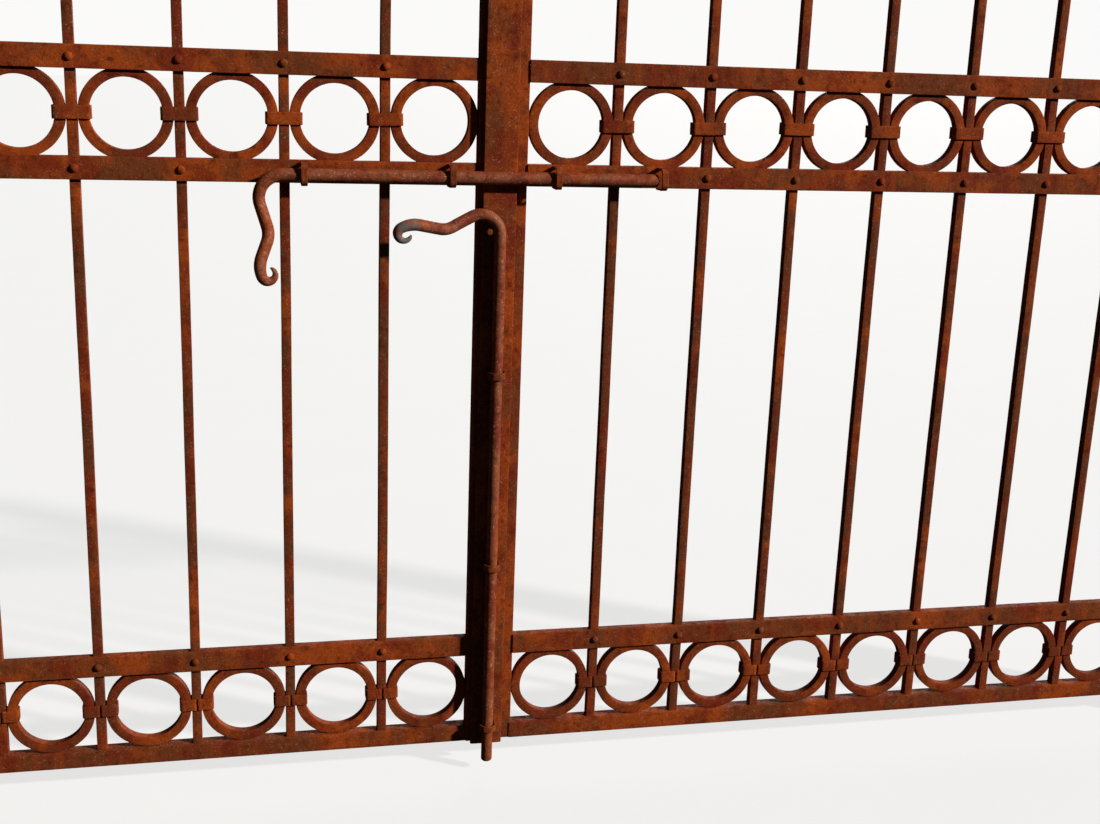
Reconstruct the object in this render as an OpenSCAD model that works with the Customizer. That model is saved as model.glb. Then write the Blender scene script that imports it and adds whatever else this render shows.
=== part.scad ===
// Pair of wrought iron driveway gates between two square iron posts.
// X runs along the gates, Y runs through them away from the bolt side, Z is up.
// The origin is the middle of the left post's foot. All sizes are in millimetres.

/* [Leaves] */
// Spacing of the upright bars, centre to centre
bay = 175; // [150:1:200]
// Whole bays in each leaf
bays = 8; // [4:1:9]
// Side of the square bars and of the rings' section
bar = 18; // [14:1:20]
// Gap between a ring and the bar beside it
ring_gap = 0.2; // [0.1:0.1:4]
// Width of each stile
stile_w = 43; // [40:1:55]
// Depth of each stile
stile_d = 32; // [28:1:36]
// Gap between the two meeting stiles
joint_gap = 5; // [5:1:8]
// Height of the leaves above the ground
ground_gap = 54; // [45:1:80]

/* [Rails] */
// Height of the three channel rails
rail_h = 40; // [36:1:44]
// Thickness of the channel rails' webs
web = 6; // [5:0.5:8]
// Thickness of the channel rails' flanges
flange = 5; // [4:0.5:6]
// Depth of the channel rails, front to back
rail_d = 20; // [18:1:22]
// Height of the bottom rail
bottom_h = 33; // [30:1:42]
// Depth of the bottom rail
bottom_d = 28; // [26:1:36]
// Level of the lock rail's underside above the leaf's bottom
lock_level = 1097; // [900:1:1200]
// How far each ring is let into the rail above or below it
ring_lap = 6.6; // [3:0.1:8]

/* [Collars] */
// Height of the collars that tie the rings to the bars
collar_h = 23; // [16:1:26]
// Thickness of the collars
collar_t = 4; // [3:0.5:5]

/* [Bar tops] */
// Height of the bars above the top rail, below their points
bar_over = 180; // [140:5:240]
// Length of the points
point_h = 55; // [40:1:80]

/* [Cover strip] */
// Width of the strip that covers the joint
strip_w = 62; // [56:1:68]
// Thickness of the strip
strip_t = 8; // [6:1:10]
// How far the strip's middle stands to the left of the joint
strip_off = 6; // [4:1:8]
// How far the strip runs below the leaves
strip_drop = 3; // [0:1:5]
// Gap between the strip and the right leaf's stile
lap_gap = 5; // [5:0.5:6]

/* [Bolts] */
// Diameter of the drop bolt
rod_d = 22; // [18:1:22]
// Diameter of the sliding bolt
slide_d = 24; // [20:1:25]
// Thickness of the bands that hold the bolts
band_t = 4; // [3:0.5:5]
// Width of the bands that hold the sliding bolt
band_w = 12; // [10:1:16]
// Distance of the right end of the sliding bolt from the joint
slide_right = 285; // [275:1:287]
// Distance of the sliding bolt's bend from the joint
slide_left = 392; // [385:1:410]
// Distance of the outer left band from the joint
outer_left = 354; // [340:1:365]
// Distance of the two inner bands from the joint
inner_band = 96; // [90:1:110]
// Distance of the outer right band from the joint
outer_right = 293; // [293:1:310]
// How far the drop bolt reaches below the leaves
drop_reach = 33; // [20:1:40]
// Level of the drop bolt's bend above the leaf's bottom
bend_level = 1012; // [1000:1:1016]

// How far the handles lean out at their ends
handle_lean = 36; // [20:1:45]

/* [Posts] */
// Side of the square posts
post = 100; // [80:5:120]
// Wall of the hollow posts
post_wall = 8; // [5:1:12]
// Height of the posts, without their caps
post_h = 1650; // [1600:10:1800]
// Gap between each post and its leaf
hinge_gap = 60; // [56:1:70]
// Diameter of the hinge pins
pin_d = 18; // [16:1:20]

/* [Hidden] */
$fn = 64;

ring_r = (bay - bar) / 2 - ring_gap;
// Distances u run from the joint's middle out along a leaf
u_meet = joint_gap / 2;
u_field = u_meet + stile_w;
field_w = bay * (bays - 1) + 2 * ring_r;
u_hinge = u_field + field_w;
u_edge = u_hinge + stile_w;
u_pin = u_edge + hinge_gap / 2;
mid = post / 2 + hinge_gap + u_edge;
// Levels
z_leaf = ground_gap;
z_low_ring = z_leaf + bottom_h + ring_r;
z_lower = z_low_ring + ring_r - ring_lap;
z_lock = z_leaf + lock_level;
z_up_ring = z_lock + rail_h - ring_lap + ring_r;
z_top = z_up_ring + ring_r - ring_lap;
z_over = z_top + rail_h + bar_over;
// Depths: the bars stand on the middle plane
y_bar = -bar / 2;
y_rail = y_bar - web;
y_strip = -stile_d / 2 - 1;
y_strip_face = y_strip - strip_t;
y_rod = y_strip_face - 1 - rod_d / 2;
y_band = y_rod - rod_d / 2 - 1 - band_t;
y_slide = y_strip_face - 1 - slide_d / 2;
y_slide_band = y_slide - slide_d / 2 - 1 - band_t;
z_slide_band = z_lock + rail_h / 2 - 2;
z_slide = z_slide_band - 1.5;
eye_h = 44;
eye_r = 17;
pin_fit = 0.1;
hinge_levels = [z_lower + rail_h / 2, z_top + rail_h / 2];

// The lines of the two handles: lengths and turns of their six stretches
drop_lens = [74, 39, 26, 38, 34, 49];
drop_turns = [116, 0, -38, 0, 40, 236];
slide_lens = [74, 39, 26, 26, 34, 49];
slide_turns = [107, 0, -38, 0, 40, 236];
grip_r = 11;
neck_l = 60;
lean_l = 150;
handle_n = 60;
sides = 16;
function total(v, n) = n == 0 ? 0 : v[n - 1] + total(v, n - 1);
function passed(s, lens, i) = max(0, min(1, (s - total(lens, i)) / lens[i]));
function heading(s, lens, turns) = 90 + total([for (i = [0:5]) turns[i] * passed(s, lens, i)], 6);
// Radius of a handle at distance s from its rod, and how far it leans out there
function thick(s, end, d) = s < neck_l ? lookup(s, [[0, d / 2], [neck_l, grip_r]])
    : lookup(end - s, [[0, 1.6], [6, 4], [18, 5.8], [38, 9.3], [70, grip_r]]);
function eased(t) = t * t * (3 - 2 * t);
function lean(s) = handle_lean * eased(max(0, min(1, (s - neck_l) / lean_l)));
function line(lens, turns, step) = [for (i = 0, p = [0, 0]; i <= handle_n;
    p = let (h = heading((i + 0.5) * step, lens, turns)) p + step * [cos(h), sin(h)], i = i + 1) p];
function ring(p, s, h, r) = [for (k = [0:sides - 1])
    let (a = 360 * k / sides) [p[0] - sin(h) * r * cos(a), p[1] + cos(h) * r * cos(a), r * sin(a) + lean(s)]];

module left() { translate([mid, 0, 0]) mirror([1, 0, 0]) children(); }
module right() { translate([mid, 0, 0]) children(); }
module at_bars() { for (i = [0:bays - 2]) translate([u_field + ring_r + bay * (i + 0.5), 0, 0]) children(); }
module at_rings() { for (i = [0:bays - 1]) translate([u_field + ring_r + bay * i, 0, 0]) children(); }

module iron() { color([0.36, 0.17, 0.11]) children(); }
module rod_iron() { color([0.40, 0.25, 0.22]) children(); }
module post_iron() { color([0.30, 0.16, 0.12]) children(); }

// A channel rail with its web in front, notched for the bars
module channel_rail(z) {
    difference() {
        translate([u_field, y_rail, z]) cube([field_w, rail_d, rail_h]);
        translate([u_field - 1, y_bar, z + flange]) cube([field_w + 2, rail_d, rail_h - 2 * flange]);
        at_bars() translate([-bar / 2, y_bar, z - 1]) cube([bar, rail_d, rail_h + 2]);
    }
}

// The bottom rail is one solid bar
module solid_rail() {
    translate([u_field, -bottom_d / 2, z_leaf]) cube([field_w, bottom_d, bottom_h]);
}

module stile(u, front) {
    translate([u, front, z_leaf]) cube([stile_w, stile_d, z_over - z_leaf]);
}

module bars() {
    at_bars() translate([-bar / 2, y_bar, z_leaf + bottom_h]) cube([bar, bar, z_over - z_leaf - bottom_h]);
}

// A four-sided point, as two wedges that cross
module point(w, h) {
    intersection() {
        rotate([90, 0, 0]) linear_extrude(w, center = true) polygon([[-w / 2, 0], [w / 2, 0], [1, h], [-1, h]]);
        rotate([90, 0, 90]) linear_extrude(w, center = true) polygon([[-w / 2, 0], [w / 2, 0], [1, h], [-1, h]]);
    }
}

module points() { at_bars() translate([0, 0, z_over]) point(bar, point_h); }

module ring() {
    rotate([90, 0, 0]) difference() {
        cylinder(h = bar, r = ring_r, center = true, $fn = 96);
        cylinder(h = bar + 2, r = ring_r - bar, center = true, $fn = 96);
    }
}

module lower_rings() {
    difference() {
        at_rings() translate([0, 0, z_low_ring]) ring();
        translate([0, -bar, z_lower]) cube([u_edge, 2 * bar, rail_h]);
    }
}

module upper_rings() {
    difference() {
        at_rings() translate([0, 0, z_up_ring]) ring();
        translate([0, -bar, z_top]) cube([u_edge, 2 * bar, rail_h]);
        translate([0, -bar, z_lock]) cube([u_edge, 2 * bar, rail_h]);
    }
}

// A band round a bar and the two rings beside it
module collars(z) {
    inside = bay - 2 * (ring_r - bar) + 2;
    at_bars() translate([0, 0, z]) difference() {
        cube([inside + 2 * collar_t, bar + 2 * collar_t, collar_h], center = true);
        cube([inside, bar, collar_h + 2], center = true);
    }
}

module hinge_eyes() {
    for (z = hinge_levels) translate([0, 0, z]) difference() {
        union() {
            translate([u_pin, 0, 0]) cylinder(h = eye_h, r = eye_r, center = true);
            translate([u_edge, -8, -eye_h / 2]) cube([hinge_gap / 2, 16, eye_h]);
        }
        translate([u_pin, 0, 0]) cylinder(h = eye_h + 2, r = pin_d / 2 + pin_fit, center = true);
    }
}

// Pins on arms that stand out of the post
module pintles() {
    for (z = hinge_levels) translate([0, 0, z - eye_h / 2]) {
        translate([u_pin, 0, -8]) cylinder(h = 8 + eye_h + 14, r = pin_d / 2);
        translate([u_pin, 0, -8]) cylinder(h = 7.7, r = 15);
        translate([u_pin, 0, -30]) cylinder(h = 22, r = 15);
        translate([u_pin, -11, -30]) cube([hinge_gap / 2, 22, 22]);
    }
}

module post_box() {
    difference() {
        translate([-post / 2, -post / 2, 0]) cube([post, post, post_h]);
        translate([-post / 2 + post_wall, -post / 2 + post_wall, 12])
            cube([post - 2 * post_wall, post - 2 * post_wall, post_h]);
    }
}

module post_cap() {
    translate([0, 0, post_h]) {
        translate([-post / 2 - 8, -post / 2 - 8, 0]) cube([post + 16, post + 16, 14]);
        translate([0, 0, 14]) point(post + 4, 42);
    }
}

// A U-shaped band of outside width w, outside depth d and corner radius r, its open side on x = 0
module band(w, d, h, r) {
    linear_extrude(h, center = true) difference() {
        band_outline(w, d, r);
        translate([-1, 0]) band_outline(w - 2 * band_t, d - band_t + 1, r - band_t);
    }
}

module band_outline(w, d, r) {
    translate([0, -w / 2]) square([d - r, w]);
    translate([0, -w / 2 + r]) square([d, w - 2 * r]);
    for (s = [-1, 1]) translate([d - r, s * (w / 2 - r)]) circle(r = r);
}

// Bands over the sliding bolt at a list of distances from the joint
module slide_bands(places) {
    for (u = places) translate([u, y_rail, z_slide_band])
        rotate([0, 90, 0]) rotate([0, 0, -90]) band(rail_h, y_rail - y_slide_band, band_w, 12);
}

// Bands over the drop bolt at levels above the leaf's bottom
module drop_bands() {
    for (z = [40, 376, 752]) translate([mid - strip_off, y_strip_face, z_leaf + z])
        rotate([0, 0, -90]) band(rod_d + 11, y_strip_face - y_band, 14, 14);
}

// A waved handle with its curled end: a tapered round bar swept along a bent line from a rod d thick
module handle(lens, turns, d) {
    end = total(lens, 6);
    step = end / handle_n;
    path = line(lens, turns, step);
    rings = [for (i = [0:handle_n])
        ring(path[i], i * step, heading(i * step, lens, turns), thick(i * step, end, d))];
    polyhedron(
        points = [for (one = rings) for (p = one) p],
        faces = concat(
            [[for (k = [0:sides - 1]) k]],
            [for (i = [0:handle_n - 1]) for (k = [0:sides - 1])
                let (a = i * sides + k, b = i * sides + (k + 1) % sides) [a, a + sides, b + sides, b]],
            [[for (k = [sides - 1:-1:0]) handle_n * sides + k]]
        )
    );
}

// A round bar along x with a rounded end
module rod(l, d) {
    rotate([0, 90, 0]) {
        cylinder(h = l - 6, d = d);
        translate([0, 0, l - 6]) intersection() {
            cylinder(h = 6, d = d);
            translate([0, 0, 6 - 16]) sphere(r = 16);
        }
    }
}

module left_post() { post_iron() post_box(); }
module right_post() { post_iron() translate([2 * mid, 0, 0]) post_box(); }
module left_post_cap() { post_iron() post_cap(); }
module right_post_cap() { post_iron() translate([2 * mid, 0, 0]) post_cap(); }
module left_pintles() { iron() left() pintles(); }
module right_pintles() { iron() right() pintles(); }

module left_hinge_eyes() { iron() left() hinge_eyes(); }
module left_hinge_stile() { iron() left() stile(u_hinge, -stile_d / 2); }
module left_meeting_stile() { iron() left() stile(u_meet, y_strip); }
module left_top_rail() { iron() left() channel_rail(z_top); }
module left_lock_rail() { iron() left() channel_rail(z_lock); }
module left_lower_rail() { iron() left() channel_rail(z_lower); }
module left_bottom_rail() { iron() left() solid_rail(); }
module left_bars() { iron() left() bars(); }
module left_bar_points() { iron() left() points(); }
module left_upper_rings() { iron() left() upper_rings(); }
module left_lower_rings() { iron() left() lower_rings(); }
module left_upper_collars() { iron() left() collars(z_up_ring); }
module left_lower_collars() { iron() left() collars(z_low_ring); }
module left_bolt_bands() { iron() left() slide_bands([inner_band, outer_left]); }

// The strip is carried by the left leaf and covers the joint on the bolt side
module cover_strip() {
    iron() translate([mid - strip_off - strip_w / 2, y_strip_face, z_leaf - strip_drop])
        cube([strip_w, strip_t, z_over - z_leaf + strip_drop]);
}
module drop_bolt_bands() { iron() drop_bands(); }
module drop_bolt_peg() {
    iron() translate([mid - strip_off - 21, y_strip_face, z_leaf + bend_level + 6])
        rotate([90, 0, 0]) cylinder(h = 22, r = 6);
}

module right_hinge_eyes() { iron() right() hinge_eyes(); }
module right_hinge_stile() { iron() right() stile(u_hinge, -stile_d / 2); }
module right_meeting_stile() { iron() right() stile(u_meet, y_strip + lap_gap); }
module right_top_rail() { iron() right() channel_rail(z_top); }
module right_lock_rail() { iron() right() channel_rail(z_lock); }
module right_lower_rail() { iron() right() channel_rail(z_lower); }
module right_bottom_rail() { iron() right() solid_rail(); }
module right_bars() { iron() right() bars(); }
module right_bar_points() { iron() right() points(); }
module right_upper_rings() { iron() right() upper_rings(); }
module right_lower_rings() { iron() right() lower_rings(); }
module right_upper_collars() { iron() right() collars(z_up_ring); }
module right_lower_collars() { iron() right() collars(z_low_ring); }
module right_bolt_bands() { iron() right() slide_bands([inner_band, outer_right]); }

module slide_bolt_rod() {
    rod_iron() translate([mid - slide_left, y_slide, z_slide]) rod(slide_left + slide_right, slide_d);
}
module slide_bolt_handle() {
    rod_iron() translate([mid - slide_left, y_slide, z_slide])
        rotate([90, 0, 0]) rotate([0, 0, 90]) handle(slide_lens, slide_turns, slide_d);
}
module drop_bolt_rod() {
    rod_iron() translate([mid - strip_off, y_rod, z_leaf + bend_level])
        rotate([0, 90, 0]) rod(bend_level + drop_reach, rod_d);
}
module drop_bolt_handle() {
    rod_iron() translate([mid - strip_off, y_rod, z_leaf + bend_level])
        rotate([90, 0, 0]) handle(drop_lens, drop_turns, rod_d);
}

left_post();
right_post();
left_post_cap();
right_post_cap();
left_pintles();
right_pintles();
left_hinge_eyes();
left_hinge_stile();
left_meeting_stile();
left_top_rail();
left_lock_rail();
left_lower_rail();
left_bottom_rail();
left_bars();
left_bar_points();
left_upper_rings();
left_lower_rings();
left_upper_collars();
left_lower_collars();
left_bolt_bands();
cover_strip();
drop_bolt_bands();
drop_bolt_peg();
right_hinge_eyes();
right_hinge_stile();
right_meeting_stile();
right_top_rail();
right_lock_rail();
right_lower_rail();
right_bottom_rail();
right_bars();
right_bar_points();
right_upper_rings();
right_lower_rings();
right_upper_collars();
right_lower_collars();
right_bolt_bands();
slide_bolt_rod();
slide_bolt_handle();
drop_bolt_rod();
drop_bolt_handle();
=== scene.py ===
import math

import bmesh
import bpy
from mathutils import Matrix, Vector


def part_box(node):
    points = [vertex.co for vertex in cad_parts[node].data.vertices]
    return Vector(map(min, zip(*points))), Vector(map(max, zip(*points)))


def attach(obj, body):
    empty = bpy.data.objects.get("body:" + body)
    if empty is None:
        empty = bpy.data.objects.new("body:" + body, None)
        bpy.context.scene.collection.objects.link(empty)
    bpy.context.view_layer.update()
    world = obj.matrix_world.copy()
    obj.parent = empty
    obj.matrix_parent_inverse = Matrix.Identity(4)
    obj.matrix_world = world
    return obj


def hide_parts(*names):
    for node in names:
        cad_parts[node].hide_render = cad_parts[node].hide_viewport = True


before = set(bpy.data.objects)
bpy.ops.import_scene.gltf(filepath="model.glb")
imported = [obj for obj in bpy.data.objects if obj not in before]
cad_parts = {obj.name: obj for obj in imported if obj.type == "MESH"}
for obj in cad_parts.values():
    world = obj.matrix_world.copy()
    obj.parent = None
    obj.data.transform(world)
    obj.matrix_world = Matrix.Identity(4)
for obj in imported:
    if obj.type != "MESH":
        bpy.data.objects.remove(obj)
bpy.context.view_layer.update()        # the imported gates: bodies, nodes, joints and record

bl_info = {
    "name": "Wrought Iron Driveway Gates",
    "version": (1, 0, 0),
    "blender": (4, 5, 0),
    "location": "View3D > Sidebar > Gates",
    "description": "Forged and rusted pieces for a pair of driveway gates and their two bolts",
    "category": "Object",
}

LEAVES = ("left", "right")
MM = 0.001
ARC = 4  # steps in a rounded corner
UP = Vector((0, 0, 1))
ACROSS = Vector((0, 1, 0))

UPSET = 34 * MM  # height over which a bar's wider foot narrows
POINT_TIP = 2.4 * MM  # width of a bar's point just under its tip
HOLLOW = 1.12  # 1 is a straight-sided point, more is a hollow one
WEB, FLANGE = 6 * MM, 5 * MM  # walls of the channel rails
OVERRUN = 4 * MM  # how far a bottom rail runs on into its stiles
SEAM = 0.5 * MM  # half the seam in front of a lower collar
SLIDE_BAND, DROP_BAND = 12 * MM, 14 * MM  # width of the bolts' bands and radius of their corners
BLUNT = 5 * MM  # length of a bolt's rounded end
CURL = 24 * MM  # from a handle's edge to the middle of its curl
EYE_TALL, EYE_BORE = 44 * MM, 9.3 * MM  # height of a hinge eye and radius of its bore
CAP_SLAB = 14 * MM  # thickness of a post cap under its crown


def size_of(node):
    low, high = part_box(node)
    return high - low


BAR = size_of("left_bars").y  # side of the square bars


# ---------------------------------------------------------------- settings

def length(name, description, default, **limits):
    return bpy.props.FloatProperty(
        name=name, description=description, default=default, subtype="DISTANCE", unit="LENGTH", **limits
    )


def colour(name, description, default):
    return bpy.props.FloatVectorProperty(
        name=name, description=description, default=default, subtype="COLOR", size=3, min=0.0, max=1.0
    )


class GateSizes(bpy.types.PropertyGroup):
    """Sizes of the forged work that the frame leaves open."""

    bays: bpy.props.IntProperty(name="Bays", description="Rings in each row of a leaf", default=8, min=2)
    soft_edge: length("Soft edge", "Worn radius on the edges of bars and rings", 1.3 * MM)
    rail_edge: length("Rail edge", "Worn radius on the edges of rails and stiles", 1.6 * MM)
    foot_flare: bpy.props.FloatProperty(
        name="Foot flare", description="How much wider a bar's upset foot is", default=0.22, min=0.0
    )
    bow: length("Bow", "How far a bar strays from straight", 1.3 * MM)
    stray: length("Stray", "How far a collar sits above or below its row", 2 * MM)
    dents: length("Dents", "Depth of the hammer marks", 0.5 * MM)
    rivet: length("Rivet", "Diameter of the rivet heads", 16 * MM)
    rivet_rise: length("Rivet rise", "How far a rivet head stands out", 5.4 * MM)
    strap: length("Strap", "Thickness of the collars and bands", 4 * MM)


class GateFinish(bpy.types.PropertyGroup):
    """Colours of the rust."""

    brown: colour("Brown rust", "The main tone", (0.175, 0.042, 0.0115))
    umber: colour("Umber rust", "The bars' duller tone", (0.142, 0.036, 0.0125))
    russet: colour("Russet rust", "The rings' redder tone", (0.165, 0.032, 0.0085))
    orange: colour("Orange rust", "Fresh bright rust", (0.36, 0.060, 0.0065))
    red: colour("Red scale", "Older red layers", (0.19, 0.0205, 0.0055))
    dark: colour("Dark scale", "Pits and black scale", (0.062, 0.014, 0.005))
    speckle: colour("Pale speckle", "Dry pale flecks", (0.45, 0.235, 0.135))
    rod: colour("Rod", "Rubbed iron of the bolts", (0.265, 0.068, 0.024))
    tip: colour("Tip", "Bare iron where hands rub the drop bolt's handle", (0.155, 0.135, 0.12))


class GateStage(bpy.types.PropertyGroup):
    """Floor, lights and camera."""

    floor_size: length("Floor", "Side of the floor", 90.0)
    sun: bpy.props.FloatProperty(name="Key", description="Strength of the key light", default=4.2)
    sun_angle: bpy.props.FloatProperty(
        name="Key size", description="Angle of the key light", default=math.radians(3), subtype="ANGLE"
    )
    eye: bpy.props.FloatVectorProperty(
        name="Eye", description="Place of the camera", default=(1.1059, -2.5262, 1.3971), subtype="XYZ",
        unit="LENGTH"
    )
    yaw: bpy.props.FloatProperty(
        name="Yaw", description="Turn to the right", default=math.radians(12.94), subtype="ANGLE"
    )
    pitch: bpy.props.FloatProperty(
        name="Pitch", description="Tilt downwards", default=math.radians(14.55), subtype="ANGLE"
    )
    roll: bpy.props.FloatProperty(
        name="Roll", description="Lean of the camera", default=math.radians(-2.13), subtype="ANGLE"
    )
    lens: bpy.props.FloatProperty(
        name="Lens", description="Focal length in millimetres", default=46.0, unit="CAMERA"
    )


# ---------------------------------------------------------------- materials

class Shading:
    """One procedural material, built node by node on Object coordinates."""

    def __init__(self, name):
        self.material = bpy.data.materials.new(name)
        self.material.use_nodes = True
        self.nodes = self.material.node_tree.nodes
        self.links = self.material.node_tree.links
        self.shader = self.nodes["Principled BSDF"]
        self.place = self.nodes.new("ShaderNodeTexCoord").outputs["Object"]

    def add(self, kind, sockets=(), **settings):
        node = self.nodes.new(kind)
        for key, value in settings.items():
            setattr(node, key, value)
        for key, value in dict(sockets).items():
            self.feed(node.inputs[key], value)
        return node

    def feed(self, socket, value):
        if isinstance(value, bpy.types.NodeSocket):
            self.links.new(value, socket)
        else:
            socket.default_value = value

    def noise(self, scale, detail=4.0, rough=0.6, stretch=(1, 1, 1), shift=0.0):
        place = self.add(
            "ShaderNodeMapping", {"Vector": self.place, "Location": (shift, shift, shift), "Scale": stretch}
        )
        node = self.add(
            "ShaderNodeTexNoise",
            {"Vector": place.outputs[0], "Scale": scale, "Detail": detail, "Roughness": rough},
        )
        return node.outputs["Fac"]

    def ramp(self, value, low, high, floor=0.0, top=1.0):
        """value, stretched so that low becomes floor and high becomes top."""
        node = self.add("ShaderNodeMapRange", {0: value, 1: low, 2: high, 3: floor, 4: top})
        return node.outputs[0]

    def times(self, a, b):
        return self.add("ShaderNodeMath", {0: a, 1: b}, operation="MULTIPLY").outputs[0]

    def plus(self, a, b):
        return self.add("ShaderNodeMath", {0: a, 1: b}, operation="ADD").outputs[0]

    def near(self, point, inner, outer):
        """1 within inner of a point, 0 beyond outer."""
        gap = self.add("ShaderNodeVectorMath", {0: self.place, 1: point}, operation="DISTANCE")
        return self.ramp(gap.outputs["Value"], inner, outer, 1.0, 0.0)

    def mix(self, factor, a, b, blend="MIX"):
        node = self.add("ShaderNodeMix", {0: factor}, data_type="RGBA", blend_type=blend)
        self.feed(node.inputs[6], a)
        self.feed(node.inputs[7], b)
        return node.outputs[2]

    def bump(self, height, distance, strength=1.0, normal=None):
        node = self.add("ShaderNodeBump", {"Height": height, "Distance": distance, "Strength": strength})
        if normal is not None:
            self.links.new(normal, node.inputs["Normal"])
        return node.outputs[0]


def full(rgb):
    return (*rgb, 1.0)


def fresher(paint):
    """How much more fresh rust there is near the ground, beside the upper rings and on the right stile."""
    place = paint.add("ShaderNodeSeparateXYZ", {0: paint.place}).outputs
    wet = paint.ramp(place["Z"], 0.22, 0.04, 0.0, 0.015)
    ringed = paint.times(
        paint.ramp(place["Z"], 1.08, 1.2, 0.0, 0.045), paint.ramp(place["Z"], 1.32, 1.36, 1.0, 0.0)
    )
    low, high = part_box("right_meeting_stile")
    knocked = paint.times(
        paint.ramp(place["X"], low.x, low.x + 2 * MM, 0.0, 0.05),
        paint.ramp(place["X"], high.x + 1 * MM, high.x + 3 * MM, 1.0, 0.0),
    )
    return paint.plus(paint.plus(wet, ringed), knocked)


def rust(name, main, share, flecks, shift, rough=(0.66, 0.95), shine=0.1):
    """Rust in broad patches of brown and orange, with red scale, streaks, pits and pale flecks.

    share is how much of it is fresh and orange, flecks how strong the pale flecks are.
    """
    finish = bpy.context.scene.gate_finish
    paint = Shading(name)
    broad = paint.plus(paint.noise(6.5, 5.0, 0.62, shift=shift), fresher(paint))
    edge = 0.62 - 0.2 * share
    fresh = paint.ramp(broad, edge - 0.06, edge + 0.06)
    scale = paint.ramp(paint.noise(17.0, 5.0, 0.66, shift=shift + 9), 0.47, 0.60, 0.0, 0.85)
    mottle = paint.noise(75.0, 5.0, 0.7, shift=shift + 3)
    streaks = paint.ramp(paint.noise(42.0, 4.0, 0.6, (1.0, 1.0, 0.1), shift + 5), 0.50, 0.66, 0.0, 0.75)
    grains = paint.noise(230.0, 5.0, 0.72, shift=shift)
    fine = paint.noise(750.0, 3.0, 0.6, shift=shift)

    tone = paint.mix(fresh, full(main), full(finish.orange))
    tone = paint.mix(scale, tone, full(finish.red))
    tone = paint.mix(paint.times(streaks, paint.ramp(mottle, 0.35, 0.6)), tone, full(finish.orange))
    tone = paint.mix(paint.ramp(mottle, 0.53, 0.68, 0.0, 0.75), tone, full(finish.dark))
    tone = paint.mix(paint.ramp(grains, 0.54, 0.70, 0.0, 0.7), tone, full(finish.dark))
    dots = paint.noise(330.0, 2.0, 0.5, shift=shift + 2)
    pale = paint.ramp(dots, 0.62 - 0.06 * flecks, 0.70 - 0.05 * flecks, 0.0, 0.25 + 0.55 * flecks)
    tone = paint.mix(paint.times(pale, paint.ramp(mottle, 0.54, 0.44)), tone, full(finish.speckle))
    light = paint.ramp(fine, 0.3, 0.7, 0.72, 1.28)
    grey = paint.add("ShaderNodeCombineColor", {i: light for i in range(3)}).outputs[0]
    tone = paint.mix(1.0, tone, grey, "MULTIPLY")
    paint.shader.inputs["Specular IOR Level"].default_value = shine
    paint.feed(paint.shader.inputs["Base Color"], tone)
    paint.feed(paint.shader.inputs["Roughness"], paint.ramp(mottle, 0.35, 0.65, *rough))
    pits = paint.bump(grains, 1.3 * MM, 0.6, paint.bump(mottle, 1.6 * MM, 0.5))
    paint.feed(paint.shader.inputs["Normal"], paint.bump(fine, 0.4 * MM, 0.5, pits))
    return paint, tone


MATERIALS = {}


def make_materials():
    finish = bpy.context.scene.gate_finish
    for name, main, share, flecks, shift in (
        ("rusty_iron", finish.brown, 0.42, 0.4, 0.0),
        ("rusty_bars", finish.umber, 0.24, 0.5, 10.0),
        ("rusty_rings", finish.russet, 0.38, 0.35, 30.0),
        ("fitting_iron", finish.brown, 0.34, 0.6, 20.0),
        ("post_iron", finish.brown, 0.4, 0.3, 60.0),
    ):
        MATERIALS[name] = rust(name, main, share, flecks, shift)[0].material
    paint, tone = rust("bolt_iron", finish.rod, 0.3, 1.0, 40.0, (0.45, 0.78), 0.26)
    rub = paint.ramp(paint.noise(60.0, 4.0, 0.6), 0.34, 0.50)
    low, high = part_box("drop_bolt_handle")
    curl = (low.x + CURL, low.y + CURL / 2, low.z + CURL * 0.8)
    tone = paint.mix(paint.times(paint.near(curl, CURL * 0.8, CURL * 1.5), rub), tone, full(finish.tip))
    paint.feed(paint.shader.inputs["Base Color"], tone)
    MATERIALS["bolt_iron"] = paint.material


# ---------------------------------------------------------------- Geometry Nodes

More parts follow.
